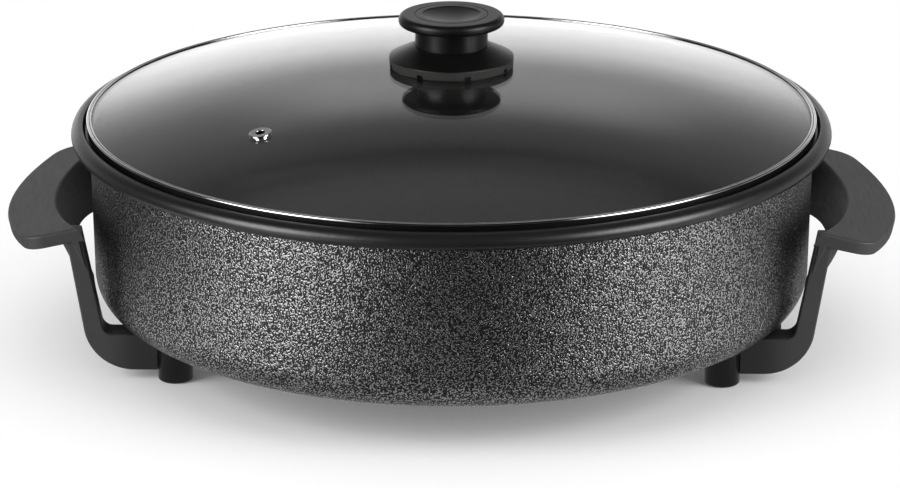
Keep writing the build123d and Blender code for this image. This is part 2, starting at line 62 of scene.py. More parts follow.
# Shape of the pan, for the edges of its painted zones
WALL_MIDDLE = 0.1976  # middle of the wall's thickness where it meets the floor
WALL_OPENING = 0.0129  # how far the wall opens for each metre up
CORNER_MIDDLE = 0.0190  # rounding between floor and wall, in the middle of the metal
UNDERSIDE = 0.0260  # flat underside above the table
FLOOR_MIDDLE = 0.0275  # middle of the floor's thickness
RIM_START = 0.1188  # lower edge of the rim
RIM_ROOT = 0.2030  # where the rim's underside leaves the wall's rounding
RIM_WIDEST = 0.1220  # height of the rim's widest line
RIM_ROUND = 0.2045  # middle line of the rounding above it
RIM_LIP_ROUND = 0.2068  # and of the rounding below it

# Zones of the finishes: each pair says where the zone's mask is 0 and where it is 1
BARE_HEIGHT = (UNDERSIDE + 0.0006, UNDERSIDE + 0.0002)
BARE_RADIUS = (0.177, 0.173)
INSIDE_DEPTH = (0.0003, -0.0003)
CREST_HEIGHT = (RIM_START + 0.0001, RIM_START + 0.0006)
LIP_RADIUS = (RIM_ROOT, RIM_ROOT + 0.0008)
UPPER_HEIGHT = (RIM_WIDEST - 0.00001, RIM_WIDEST + 0.00001)
EVEN_RADIUS = (RIM_ROUND - 0.0008, RIM_ROUND + 0.0002)
FLECK_NOISE = (0.53, 0.59)
# Painted shade on the mouldings: darker under the pan and on faces that look at its axis
PAINTED_SHADE_RADIUS = (0.206, 0.186)
PAINTED_SHADE_FACING = (-0.20, -0.70)  # 1 looks straight outwards, -1 straight at the pan's axis
COLD_END = (0.118, 0.140)  # along X
# Painted light: the knob rosette's upright edge is coloured lighter
SKIRT_ACROSS = (-0.0010, -0.0005)  # from the rosette's outside
SKIRT_DOWN = (-0.0001, -0.0006)  # from the top of its upright edge
# Painted shade on the steel band: its seam and its skirt below the roll
SEAM_WIDTH = (0.00022, 0.00008)  # from the middle of the band's seam
BAND_SKIRT = (-1.70, -1.90)  # from the band's top, in radii of its roll

# Relief and tone of the finishes
CELLS_PER_FLECK = 2.1
FLECK_RELIEF = 0.00001
WORM_RELIEF = 0.00030  # waves of the paint that the flecks lie on
CAST_RELIEF = 0.00025
SPRAY_RELIEF = 0.00005
PEEL_RELIEF = 0.00006
PAINTED_SHADE_ON_FACES = 0.85  # share of the painted shade on faces that look at the pan
DULL_CAST = (0.40, 0.40, 0.405, 1.0)
RUBBED_CAST = (0.72, 0.72, 0.73, 1.0)
COATING_SPECK = (0.055, 0.055, 0.056, 1.0)
CERAMIC_SPECK = (0.32, 0.24, 0.16, 1.0)
# painted shade of the band's seam and skirt
BAND_PAINTED_SHADE = (0.02, 0.02, 0.02, 1.0)
GLASS_SHADOW = (0.855, 0.865, 0.86, 1.0)
WHITE = (1.0, 1.0, 1.0, 1.0)

# Steel band, drawn finer than its solid
GLASS_THICKNESS = 0.0040
GLASS_GAP = 0.0001
ROLL_RADIUS = 0.00085  # rolled outer edge of the band
ROLL_TURN = (-70.0, 152.0)  # part of the roll's circle that shows, in degrees
SEAM_DEPTH = 0.00055  # seam between roll and lip, below the roll's top
LIP_WIDTH = 0.00275  # band from its outside to its inner edge
LIP_START = 2.1  # outer end of the lip from the band's outside, in radii of the roll
LIP_SET_DOWN = 0.00040  # middle of the lip's arc below the roll's top
LIP_RISE = 0.00038  # height of the lip's arc
LIP_TURN = (15.0, 180.0)  # part of the lip's ellipse that shows, in degrees
LIP_DROP = 0.96  # share of the way from the roll's top to the glass
LOW_LIP_WIDTH = 0.0034  # lip under the glass, from the band's outside
SKIRT_SET_IN = 0.00056  # skirt below the roll
SKIRT_ROUND = 0.0005  # rounding at the skirt's foot
BAND_SIDES = 720

# Knob, and its disc, drawn finer than its solid
ROSETTE_EDGE = 0.0050  # height of the rosette's upright edge
DISC_EDGE_ROUND = 0.0007
DISC_RING_WIDTH = 0.0042
DISC_STEP = 0.00035  # from the ring down to the dish
DISC_STEP_ROUND = 0.0003
DISC_STEP_WIDTH = 0.0003
DISC_DISH = 0.0020  # lowest point of the dish below the ring
DISC_SIDES = 256

SHARP_ANGLE = 35.0  # edges sharper than this are not smoothed, in degrees
JOIN_DISTANCE = 0.000001

# Floor: pairs as for the zones
POOL_ASIDE = (0.09, 0.24)  # pools of light that mirrors show: to the sides,
POOL_FORWARD = (0.05, -0.16)  # to the front
POOL_RADIUS = (0.20, 0.29)  # and out from under the pan
POOL_LEVEL = 0.65
FLOOR_FADE = (0.145, 0.355)  # radius over which the floor turns into the white backdrop

# Studio that mirrors and glass see, by the direction of the ray: pairs as for the zones
BACKDROP_BEHIND = (0.20, 0.85)
BACKDROP_FOOT = (-0.30, -0.15)
BACKDROP_CLIMB = (  # height of the ray and brightness there
    (0.06, 1.0), (0.15, 0.90), (0.21, 0.70), (0.27, 0.50), (0.32, 0.37), (0.36, 0.296),
    (0.40, 0.24), (0.46, 0.20), (0.52, 0.16), (0.57, 0.124), (0.605, 0.066), (0.635, 0.095),
    (0.66, 0.175), (0.70, 0.24), (1.0, 0.28),
)
GLOW_FOOT = (0.26, 0.40)  # brighter spot in the middle of the backdrop
GLOW_HEAD = (0.53, 0.42)
GLOW_ASIDE = (0.21, 0.09)
GLOW_LEVEL = 0.34
SIDE_WALLS = (0.80, 0.97)
SIDE_WALL_LEVEL = 0.06
LOW_PATCHES = (  # direction and brightness
    ((-0.690, -0.662, -0.292), 1.35),
    ((0.914, -0.281, -0.292), 0.90),
    ((0.852, 0.434, -0.292), 0.45),
)
LOW_PATCH_SIZE = (26.0, 9.0)  # reach and core, in degrees
SIDE_PATCH_SIZE = (26.0, 5.0)
SIDE_PATCH_TURNS = (-56.0, 64.0)  # from the front, in degrees
SIDE_PATCH_CLIMB = 21.0
SIDE_PATCH_GAIN = 1.75  # brightness for each unit of the softboxes'

# Lamps and camera
PAN_MIDDLE = (0.0, 0.0, 0.08)
SOFTBOX_TURNS = {"softbox_left": -62.0, "softbox_right": 64.0}  # from the front, in degrees
SOFTBOX_DISTANCE = 1.5
SOFTBOX_HEIGHT = 0.68
SOFTBOX_SIZE = (1.1, 1.3)
TOP_LIGHT_PLACE = (0.0, -0.1, 1.9)
TOP_LIGHT_SIZE = (1.2, 1.2)
SENSOR_WIDTH = 36.0  # millimetres, as is the lens
LENS = 150.78
CAMERA_SWING = 0.020  # round the pan's axis from the front, in radians like the next two
CAMERA_DIP = 0.3273  # below level
CAMERA_ASIDE = 0.0004  # to the left of the axis


def colour_prop(name, words, default):
    """Colour that a user may change."""
    return FloatVectorProperty(
        name=name, description=words, subtype="COLOR", size=4, min=0.0, max=1.0,
        default=(*default, 1.0),
    )


def length_prop(name, words, default):
    """Length that a user may change."""
    return FloatProperty(
        name=name, description=words, default=default, min=0.0, unit="LENGTH", subtype="DISTANCE"
    )


def level_prop(name, words, default):
    """Plain number that a user may change."""
    return FloatProperty(name=name, description=words, default=default, min=0.0, subtype="FACTOR")


class PanFinish(bpy.types.PropertyGroup):
    """Paint and coating of the pan."""

    fleck_spacing: length_prop("Fleck spacing", "From one hammered fleck to the next", 0.0018)
    fleck_colour: colour_prop("Fleck colour", "Flecks of the hammered paint", (0.55, 0.55, 0.555))
    vein_colour: colour_prop("Vein colour", "Paint between the flecks", (0.040, 0.040, 0.0405))
    rim_colour: colour_prop("Rim colour", "Satin paint of the rim", (0.007, 0.007, 0.0073))
    coating_colour: colour_prop("Coating colour", "Non-stick inside", (0.009, 0.009, 0.0093))
    bare_colour: colour_prop("Bare metal colour", "Cast underside", (0.56, 0.56, 0.57))


class HandleFinish(bpy.types.PropertyGroup):
    """Moulding of handles, feet and inlet guard."""

    mould_colour: colour_prop("Moulding colour", "Matte phenolic", (0.034, 0.034, 0.0348))
    rubbed_colour: colour_prop("Rubbed colour", "Rubbed edges", (0.060, 0.060, 0.062))
    # painted shade: colour that stands in for the shade under the pan and on faces turned to it
    painted_shade_colour: colour_prop("Painted shade colour", "Near the hot pan", (0.008, 0.008, 0.0083))
    grain_size: length_prop("Grain size", "Fine grain of the moulding", 0.0007)


class HeaterFinish(bpy.types.PropertyGroup):
    """Metal and ceramic of the heater and its inlet."""

    sheath_colour: colour_prop("Sheath colour", "Heat-dulled sheath", (0.24, 0.23, 0.215))
    tint_colour: colour_prop("Tint colour", "Straw tint near the cold ends", (0.34, 0.26, 0.16))
    plated_colour: colour_prop("Plated colour", "Nickel of pins and screws", (0.62, 0.615, 0.60))
    ceramic_colour: colour_prop("Ceramic colour", "Glazed beads", (0.80, 0.78, 0.72))


class LidFinish(bpy.types.PropertyGroup):
    """Glass and steel of the lid."""

    glass_colour: colour_prop("Glass colour", "Clear, a trace of green", (0.945, 0.952, 0.949))
    steel_colour: colour_prop("Steel colour", "Polished band and vent", (0.72, 0.72, 0.725))


class KnobFinish(bpy.types.PropertyGroup):
    """Moulding and fixings of the knob."""

    knob_colour: colour_prop("Knob colour", "Satin black moulding", (0.0022, 0.0022, 0.0024))
    # painted light: lighter colour for the light that the rosette's edge catches
    skirt_painted_light_colour: colour_prop("Skirt colour", "Edge of the rosette", (0.020, 0.0195, 0.0185))
    brass_colour: colour_prop("Brass colour", "Turned insert", (0.72, 0.53, 0.25))
    silicone_colour: colour_prop("Silicone colour", "Sealing rings", (0.55, 0.55, 0.53))


class StageLook(bpy.types.PropertyGroup):
    """Floor, light and camera."""

    floor_colour: colour_prop("Floor colour", "Pale studio floor", (0.86, 0.86, 0.86))
    floor_radius: length_prop("Floor radius", "Size of the round floor", 0.38)
    softbox_level: level_prop("Softbox level", "Brightness of the two standing softboxes", 5.5)
    top_level: level_prop("Top level", "Brightness of the soft light above", 0.4)
    room_level: level_prop("Room level", "Even light from all round", 0.70)
    camera_distance: length_prop("Camera distance", "Level distance from the pan's axis", 2.001)
    camera_height: length_prop("Camera height", "Above the table", 0.7313)


class PartyPan(bpy.types.PropertyGroup):
    """All settings of the part."""

    pan: PointerProperty(type=PanFinish)
    handles: PointerProperty(type=HandleFinish)
    heater: PointerProperty(type=HeaterFinish)
    lid: PointerProperty(type=LidFinish)
    knob: PointerProperty(type=KnobFinish)
    stage: PointerProperty(type=StageLook)


def shaded(colour, share):
    """Colour times a share, held at white."""
    return tuple(min(1.0, share * part) for part in colour[:3]) + (1.0,)


def around(turn, distance, height):
    """Point at a distance from the axis and a height, turned from the front by radians."""
    return (distance * math.sin(turn), -distance * math.cos(turn), height)


class Graph:
    """A node tree, filled by short calls that return sockets."""

    def __init__(self, tree):
        self.tree = tree

    def add(self, kind, inputs=None, **settings):
        """Place a node, set its options, then set or link its inputs."""
        node = self.tree.nodes.new(kind)
        for key, value in settings.items():
            setattr(node, key, value)
        for key, value in (inputs or {}).items():
            if isinstance(value, bpy.types.NodeSocket):
                self.tree.links.new(value, node.inputs[key])
            else:
                node.inputs[key].default_value = value
        return node

    def calc(self, operation, *values):
        """One sum on values or sockets."""
        node = self.add("ShaderNodeMath", dict(enumerate(values)), operation=operation)
        return node.outputs[0]

    def product(self, first, *others):
        """All values multiplied."""
        for other in others:
            first = self.calc("MULTIPLY", first, other)
        return first

    def total(self, first, *others):
        """All values added."""
        for other in others:
            first = self.calc("ADD", first, other)
        return first

    def hypotenuse(self, first, second):
        """Square root of the two squares' sum."""
        squares = [self.product(part, part) for part in (first, second)]
        return self.calc("SQRT", self.total(*squares))

    def step(self, value, low, high):
        """Smooth step from 0 at low to 1 at high."""
        inputs = {0: value, 1: low, 2: high, 3: 0.0, 4: 1.0}
        return self.add("ShaderNodeMapRange", inputs, interpolation_type="SMOOTHSTEP").outputs[0]

    def span(self, value, low, high, start, end):
        """Straight line from start at low to end at high, held at both ends."""
        inputs = {0: value, 1: low, 2: high, 3: start, 4: end}
        return self.add("ShaderNodeMapRange", inputs).outputs[0]

    def vary(self, noise, start, end):
        """From start to end over the usual range of a noise."""
        return self.span(noise, 0.3, 0.7, start, end)

    def tint(self, mask, first, second):
        """First colour where the mask is 0, second where it is 1."""
        inputs = {0: mask, 6: first, 7: second}
        return self.add("ShaderNodeMix", inputs, data_type="RGBA").outputs[2]

    def between(self, mask, first, second):
        """First value where the mask is 0, second where it is 1."""
        inputs = {0: mask, 2: first, 3: second}
        return self.add("ShaderNodeMix", inputs, data_type="FLOAT").outputs[0]

    def turned(self, mask, first, second):
        """First direction where the mask is 0, second where it is 1."""
        inputs = {0: mask, 4: first, 5: second}
        return self.add("ShaderNodeMix", inputs, data_type="VECTOR").outputs[1]

    def mixed(self, mask, first, second):
        """First shader where the mask is 0, second where it is 1."""
        inputs = {0: mask, 1: first.outputs[0], 2: second.outputs[0]}
        return self.add("ShaderNodeMixShader", inputs)

    def noise(self, position, scale, detail=2.0, roughness=0.5, distortion=0.0):
        """Cloud noise from 0 to 1, with scale cells to the metre."""
        inputs = {
            "Vector": position, "Scale": scale, "Detail": detail, "Roughness": roughness,
            "Distortion": distortion,
        }
        return self.add("ShaderNodeTexNoise", inputs).outputs[0]

    def stretched(self, position, scale):
        """Position scaled apart along the three axes."""
        return self.add("ShaderNodeMapping", {"Vector": position, "Scale": scale}).outputs[0]

    def vector(self, operation, *values):
        """One sum on vectors."""
        node = self.add("ShaderNodeVectorMath", dict(enumerate(values)), operation=operation)
        return node.outputs[0]

    def dot(self, first, second):
        """How far two directions agree, from -1 to 1."""
        node = self.add("ShaderNodeVectorMath", {0: first, 1: second}, operation="DOT_PRODUCT")
        return node.outputs["Value"]

    def flat(self, position):
        """Position with its height taken out."""
        return self.vector("MULTIPLY", position, (1.0, 1.0, 0.0))

    def parts(self, position):
        """The three parts of a position."""
        return self.add("ShaderNodeSeparateXYZ", {0: position}).outputs

    def true_normal(self):
        """Normal of the mesh."""
        return self.add("ShaderNodeNewGeometry").outputs["Normal"]

    def bump(self, height, distance, strength=1.0, normal=None):
        """Normal of a relief that is distance high."""
        inputs = {"Height": height, "Distance": distance, "Strength": strength}
        if normal is not None:
            inputs["Normal"] = normal
        return self.add("ShaderNodeBump", inputs).outputs[0]

    def effect(self, make, **inputs):
        """Place a shared effect, made on its first use, and give back its outputs."""
        name = make.__name__.replace("_", " ")
        group = bpy.data.node_groups.get(name) or make(name)
        return self.add("ShaderNodeGroup", labelled(inputs), node_tree=group).outputs


def labelled(values):
    """Values by the labels of their sockets."""
    return {key.replace("_", " ").capitalize(): value for key, value in values.items()}


def new_effect(name, inputs, outputs):
    """Start a node group with named sockets."""
    group = bpy.data.node_groups.new(name, "ShaderNodeTree")
    for way, sockets in (("INPUT", inputs), ("OUTPUT", outputs)):
        for label, kind in sockets:
            group.interface.new_socket(label, in_out=way, socket_type="NodeSocket" + kind)
    graph = Graph(group)
    return group, graph, graph.add("NodeGroupInput").outputs


def end_effect(graph, **outputs):
    """Feed the outputs of a node group."""
    graph.add("NodeGroupOutput", labelled(outputs))


def round_place(name):
    """Distance from the pan's axis and height above the table."""
    group, graph, given = new_effect(
        name, [("Position", "Vector")], [("Radius", "Float"), ("Height", "Float")]
    )
    parts = graph.parts(given["Position"])
    end_effect(graph, radius=graph.hypotenuse(parts[0], parts[1]), height=parts[2])
    return group


def mould_grain(name):
    """Fine pitted grain of a moulding, and the slow change of tone over it."""
    group, graph, given = new_effect(
        name, [("Position", "Vector"), ("Grain", "Float")], [("Height", "Float"), ("Tone", "Float")]
    )
    cells = graph.calc("DIVIDE", 1.0, given["Grain"])
    fine = graph.noise(given["Position"], cells, roughness=0.6)
    slow = graph.noise(given["Position"], 34.0, detail=4.0, roughness=0.6)
    end_effect(graph, height=fine, tone=graph.step(slow, 0.30, 0.70))
    return group


def rubbed_edge(name):
    """Edges found by how far a rounded normal leaves the true one, broken up by noise."""
    group, graph, given = new_effect(
        name, [("Position", "Vector"), ("Width", "Float")], [("Mask", "Float"), ("Normal", "Vector")]
    )
    rounded = graph.add("ShaderNodeBevel", {"Radius": given["Width"]}, samples=4).outputs[0]
    along = graph.dot(rounded, graph.true_normal())
    edge = graph.span(along, 0.995, 0.90, 0.0, 1.0)
    cloud = graph.noise(given["Position"], 260.0, detail=3.0, roughness=0.6)
    broken = graph.step(cloud, 0.35, 0.65)
    end_effect(graph, mask=graph.product(edge, broken), normal=rounded)
    return group


def turned_lines(name):
    """Fine lines round the axis: noise of radius and height alone."""
    group, graph, given = new_effect(
        name, [("Radius", "Float"), ("Height", "Float"), ("Spacing", "Float")], [("Lines", "Float")]
    )
    flat = graph.add("ShaderNodeCombineXYZ", {0: given["Radius"], 1: given["Height"]}).outputs[0]
    cells = graph.calc("DIVIDE", 1.0, given["Spacing"])
    end_effect(graph, lines=graph.noise(flat, cells, detail=3.0, roughness=0.7))
    return group


def cast_skin(name):
    """Blasted skin of cast aluminium: grain, blotches and small pits."""
    group, graph, given = new_effect(
        name, [("Position", "Vector")], [("Height", "Float"), ("Tone", "Float")]
    )
    grain = graph.noise(given["Position"], 1900.0, detail=3.0, roughness=0.6)
    pits = graph.step(graph.noise(given["Position"], 420.0, detail=1.0), 0.70, 0.62)
    cloud = graph.noise(given["Position"], 45.0, detail=4.0, roughness=0.6)
    blotch = graph.step(cloud, 0.25, 0.75)
    end_effect(graph, height=graph.product(grain, pits), tone=graph.product(blotch, pits))
    return group


def handling(name):
    """Faint smears left by hands and wiping."""
    group, graph, given = new_effect(name, [("Position", "Vector")], [("Smear", "Float")])
    drawn = graph.stretched(given["Position"], (1.0, 0.45, 1.0))
    cloud = graph.noise(drawn, 22.0, detail=5.0, roughness=0.65, distortion=0.8)
    end_effect(graph, smear=graph.step(cloud, 0.42, 0.72))
    return group


def round_lines(graph, place, spacing):
    """Turned lines at a place."""
    radius, height = place["Radius"], place["Height"]
    return graph.effect(turned_lines, radius=radius, height=height, spacing=spacing)["Lines"]


def stains(graph, position):
    """Faint stains on bright metal."""
    return graph.step(graph.noise(position, 190.0, detail=4.0, roughness=0.6), 0.40, 0.75)


def start_finish(name):
    """New material with an empty tree; gives it, its graph and the object's coordinates."""
    material = bpy.data.materials.new(name)
    material.use_nodes = True
    material.node_tree.nodes.clear()
    graph = Graph(material.node_tree)
    position = graph.add("ShaderNodeTexCoord").outputs["Object"]
    return material, graph, position


def show(graph, shader):
    """Shader as the material's output."""
    graph.add("ShaderNodeOutputMaterial", {"Surface": shader.outputs[0]})


def end_finish(graph, inputs):
    """Principled surface as the material's output."""
    show(graph, graph.add("ShaderNodeBsdfPrincipled", inputs))


def dress(material, *names):
    """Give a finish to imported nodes."""
    for name in names:
        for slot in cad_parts[name].material_slots:
            slot.material = material


def outside_pan(graph, place):
    """Depth of a point on the outer side of the metal's middle: a rounded box turned about the axis.

    The wall is pulled upright first. The depth is the distance from the rounding's centre,
    counted only outwards and downwards, less the rounding.
    """
    rise = graph.calc("SUBTRACT", place["Height"], UNDERSIDE)
    upright = graph.calc("SUBTRACT", place["Radius"], graph.product(rise, WALL_OPENING))
    across = graph.calc("SUBTRACT", upright, WALL_MIDDLE - CORNER_MIDDLE)
    down = graph.calc("SUBTRACT", FLOOR_MIDDLE + CORNER_MIDDLE, place["Height"])
    outer = [graph.calc("MAXIMUM", part, 0.0) for part in (across, down)]
    return graph.calc("SUBTRACT", graph.hypotenuse(*outer), CORNER_MIDDLE)


def rim_normal(graph, position, place):
    """Normal of the rim's two roundings, each a ring about the axis.

    It points from the rounding's middle line to the surface: outwards by the radius less the
    middle line's, never inwards, and up by the height less the widest line's.
    """
    upper = graph.step(place["Height"], *UPPER_HEIGHT)
    middle = graph.between(upper, RIM_LIP_ROUND, RIM_ROUND)
    out = graph.calc("MAXIMUM", graph.calc("SUBTRACT", place["Radius"], middle), 0.0)
    share = graph.calc("DIVIDE", out, place["Radius"])
    scaled = {0: graph.flat(position), "Scale": share}
    level = graph.add("ShaderNodeVectorMath", scaled, operation="SCALE").outputs[0]
    up = graph.calc("SUBTRACT", place["Height"], RIM_WIDEST)
    rise = graph.add("ShaderNodeCombineXYZ", {2: up}).outputs[0]
    return graph.vector("NORMALIZE", graph.vector("ADD", level, rise))


def hammered_layer(graph, position, look):
    """Hammered paint: metal flecks in dark paint, on a low worm-like relief."""
    worms = graph.noise(position, CELLS_PER_FLECK / look.fleck_spacing, detail=0.0)
    density = graph.vary(graph.noise(position, 60.0, detail=3.0), -0.008, 0.008)
    fleck = graph.step(graph.total(worms, density), *FLECK_NOISE)
    tone = graph.vary(graph.noise(position, 500.0), 0.8, 1.0)
    colour = graph.tint(graph.product(fleck, tone), look.vein_colour, look.fleck_colour)
    metal = graph.between(fleck, 0.95, 1.0)
    rough = graph.between(fleck, 0.40, 0.27)
    height = graph.total(graph.product(fleck, FLECK_RELIEF), graph.product(worms, WORM_RELIEF))
    return colour, metal, rough, height


def bare_layer(graph, position, look):
    """Bare cast aluminium."""
    skin = graph.effect(cast_skin, position=position)
    colour = graph.tint(skin["Tone"], DULL_CAST, look.bare_colour)
    rough = graph.between(skin["Tone"], 0.62, 0.46)
    return colour, 1.0, rough, graph.product(skin["Height"], CAST_RELIEF)


def coating_layer(graph, position, look):
    """Non-stick coating with small pale specks and the grain of its spray."""
    speck = graph.step(graph.noise(position, 1100.0, detail=1.0), 0.66, 0.74)
    spray = graph.noise(position, 700.0)
    colour = graph.tint(speck, look.coating_colour, COATING_SPECK)
    return colour, 0.0, graph.vary(spray, 0.52, 0.62), graph.product(spray, SPRAY_RELIEF)


def satin_layer(graph, position, look):
    """Satin paint with a faint peel, duller where hands smear it."""
    peel = graph.noise(position, 420.0)
    rough = graph.between(graph.effect(handling, position=position)["Smear"], 0.31, 0.37)
    return look.rim_colour, 0.0, rough, graph.product(peel, PEEL_RELIEF)


def lay_over(graph, mask, below, above):
    """One layer over another where the mask is 1: colour, metal, roughness and height."""
    values = [graph.between(mask, *pair) for pair in zip(below[1:], above[1:])]
    return graph.tint(mask, below[0], above[0]), *values


def pan_finish(look):
    """Hammered paint outside, satin rim, speckled coating inside and bare metal below."""
    material, graph, position = start_finish("hammered pan")
    place = graph.effect(round_place, position=position)

    ragged = graph.vary(graph.noise(position, 120.0, detail=4.0), -0.002, 0.002)
    low = graph.step(place["Height"], *BARE_HEIGHT)
    bare = graph.product(low, graph.step(graph.total(place["Radius"], ragged), *BARE_RADIUS))
    inside = graph.step(outside_pan(graph, place), *INSIDE_DEPTH)
    crest = graph.step(place["Height"], *CREST_HEIGHT)
    rim = graph.calc("MAXIMUM", crest, graph.step(place["Radius"], *LIP_RADIUS))

    surface = hammered_layer(graph, position, look)
    for mask, layer in ((bare, bare_layer), (inside, coating_layer), (rim, satin_layer)):
        surface = lay_over(graph, mask, surface, layer(graph, position, look))
    colour, metal, rough, height = surface

    even = graph.step(place["Radius"], *EVEN_RADIUS)
    smooth = graph.turned(even, graph.true_normal(), rim_normal(graph, position, place))
    end_finish(graph, {
        "Base Color": colour, "Metallic": metal, "Roughness": rough,
        "Normal": graph.bump(height, 1.0, normal=smooth),
    })
    return material


def soot(graph, position):
    """Painted shade: 1 under the pan, and most of it on faces that look at the pan's axis."""
    under = graph.step(graph.effect(round_place, position=position)["Radius"], *PAINTED_SHADE_RADIUS)
    outwards = graph.vector("NORMALIZE", graph.flat(position))
    facing = graph.step(graph.dot(graph.true_normal(), outwards), *PAINTED_SHADE_FACING)
    return graph.calc("MAXIMUM", under, graph.product(facing, PAINTED_SHADE_ON_FACES))


def moulding_finish(name, look, shade, dull, gloss, streak):
    """Black moulding: fine grain, faint flow streaks along it, painted shade under and towards the
    pan, rubbed edges.
    """
    material, graph, position = start_finish(name)
    grain = graph.effect(mould_grain, position=position, grain=look.grain_size)
    edge = graph.effect(rubbed_edge, position=position, width=0.0006)
    drawn = graph.stretched(position, streak)
    flow = graph.step(graph.noise(drawn, 520.0, detail=4.0, roughness=0.65), 0.35, 0.70)
    full, dark = (shaded(look.mould_colour, share) for share in (shade, 0.72 * shade))
    colour = graph.tint(graph.between(0.5, flow, grain["Tone"]), dark, full)
    # painted shade: darker under the pan and on faces that look at it
    colour = graph.tint(soot(graph, position), colour, shaded(look.painted_shade_colour, shade))
    colour = graph.tint(edge["Mask"], colour, look.rubbed_colour)
    rough = graph.between(flow, dull - 0.04, dull + 0.05)
    rough = graph.between(edge["Mask"], rough, dull - 0.12)
    relief = graph.total(grain["Height"], graph.product(flow, 0.5))
    end_finish(graph, {
        "Base Color": colour, "Roughness": rough, "Specular IOR Level": gloss,
        "Normal": graph.bump(relief, 0.00005, 0.6, edge["Normal"]),
    })
    return material


def knob_finish(look):
    """Satin black moulding of the knob; the rosette's upright edge is matte and coloured lighter, a
    painted highlight.
    """
    low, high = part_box("knob_base")
    outside, top = high[0], low[2] + ROSETTE_EDGE
    material, graph, position = start_finish("knob plastic")
    place = graph.effect(round_place, position=position)
    grain = graph.effect(mould_grain, position=position, grain=0.0005)
    edge = graph.effect(rubbed_edge, position=position, width=0.0005)
    smear = graph.effect(handling, position=position)["Smear"]
    skirt = graph.product(
        graph.step(place["Radius"], *(outside + part for part in SKIRT_ACROSS)),
        graph.step(place["Height"], *(top + part for part in SKIRT_DOWN)),
    )
    worn = graph.between(0.35, grain["Tone"], edge["Mask"])
    colour = graph.tint(worn, look.knob_colour, shaded(look.knob_colour, 1.7))
    # painted light: lighter colour on the rosette's upright edge
    colour = graph.tint(skirt, colour, look.skirt_painted_light_colour)
    rough = graph.total(graph.between(smear, 0.34, 0.40), graph.vary(grain["Height"], 0.0, 0.04))
    end_finish(graph, {
        "Base Color": colour, "Roughness": graph.between(skirt, rough, 0.62),
        "Specular IOR Level": 0.26,
        "Normal": graph.bump(grain["Height"], 0.00002, 0.5, edge["Normal"]),
    })
    return material


def metal_finish(name, colour, darker, rough, spacing, relief):
    """Bright metal with fine turned lines and faint stains, darker by a share and duller."""
    material, graph, position = start_finish(name)
    lines = round_lines(graph, graph.effect(round_place, position=position), spacing)
    stain = stains(graph, position)
    dull = graph.total(graph.vary(lines, rough, 1.3 * rough), graph.product(stain, 0.3 * rough))
    end_finish(graph, {
        "Base Color": graph.tint(stain, colour, shaded(colour, darker)),
        "Metallic": 1.0, "Roughness": dull, "Normal": graph.bump(lines, relief, 0.5),
    })
    return material


def plated_finish(look):
    """Nickel plate of pins, sleeve, screws and washers."""
    return metal_finish(
        "plated steel", look.plated_colour, darker=0.62, rough=0.22, spacing=0.0006, relief=0.00003
    )


def glass_finish(look):
    """Clear glass; light on its way to the food passes as through a thin sheet."""
    material, graph, position = start_finish("lid glass")
    rough = graph.between(graph.effect(handling, position=position)["Smear"], 0.0, 0.03)
    glass = graph.add("ShaderNodeBsdfPrincipled", {
        "Base Color": look.glass_colour, "Roughness": rough, "IOR": 1.5, "Transmission Weight": 1.0,
    })
    clear = graph.add("ShaderNodeBsdfTransparent", {"Color": GLASS_SHADOW})
    shadow = graph.add("ShaderNodeLightPath").outputs["Is Shadow Ray"]
    show(graph, graph.mixed(shadow, glass, clear))
    return material


def sheath_finish(look):
    """Element sheath: scaled and dull where it runs hot, straw tinted towards its cold ends."""
    material, graph, position = start_finish("element sheath")
    cold = graph.step(graph.parts(position)[0], *COLD_END)
    scale = graph.step(graph.noise(position, 160.0, detail=5.0, roughness=0.65), 0.35, 0.65)
    colour = graph.tint(scale, shaded(look.sheath_colour, 0.6), look.sheath_colour)
    colour = graph.tint(graph.product(cold, 0.6), colour, look.tint_colour)
    grain = graph.noise(position, 900.0, detail=3.0, roughness=0.6)
    end_finish(graph, {
        "Base Color": colour, "Metallic": 1.0, "Roughness": graph.between(scale, 0.55, 0.38),
        "Normal": graph.bump(grain, 0.00003, 0.5),
    })
    return material


def ceramic_finish(look):
    """Glazed bead with small brown specks and a slightly wavy glaze."""
    material, graph, position = start_finish("ceramic")
    specks = graph.step(graph.noise(position, 1300.0, detail=1.0), 0.68, 0.76)
    cloud = graph.step(graph.noise(position, 300.0, detail=3.0), 0.3, 0.7)
    glaze = graph.tint(cloud, shaded(look.ceramic_colour, 0.9), look.ceramic_colour)
    end_finish(graph, {
        "Base Color": graph.tint(specks, glaze, CERAMIC_SPECK),
        "Roughness": graph.between(cloud, 0.16, 0.26),
        "Normal": graph.bump(cloud, 0.00006, 0.5),
    })
    return material


def silicone_finish(look):
    """Milky silicone with a dusty, slightly uneven skin."""
    material, graph, position = start_finish("silicone")
    dust = graph.step(graph.noise(position, 500.0, detail=4.0, roughness=0.6), 0.35, 0.75)
    pale = shaded(look.silicone_colour, 1.25)
    end_finish(graph, {
        "Base Color": graph.tint(dust, look.silicone_colour, pale),
        "Roughness": graph.between(dust, 0.42, 0.6),
        "Subsurface Weight": 0.25, "Subsurface Radius": (0.002, 0.002, 0.002),
        "Normal": graph.bump(dust, 0.00004, 0.5),
    })
    return material


def cast_finish(look):
    """Bare cast aluminium of the sleeve's saddle, brighter on its rubbed edges."""
    material, graph, position = start_finish("bare aluminium")
    skin = graph.effect(cast_skin, position=position)
    edge = graph.effect(rubbed_edge, position=position, width=0.0008)
    colour = graph.tint(skin["Tone"], DULL_CAST, look.bare_colour)
    end_finish(graph, {
        "Base Color": graph.tint(edge["Mask"], colour, RUBBED_CAST),
        "Metallic": 1.0, "Roughness": graph.between(skin["Tone"], 0.6, 0.45),
        "Normal": graph.bump(skin["Height"], CAST_RELIEF, 1.0, edge["Normal"]),
    })
    return material


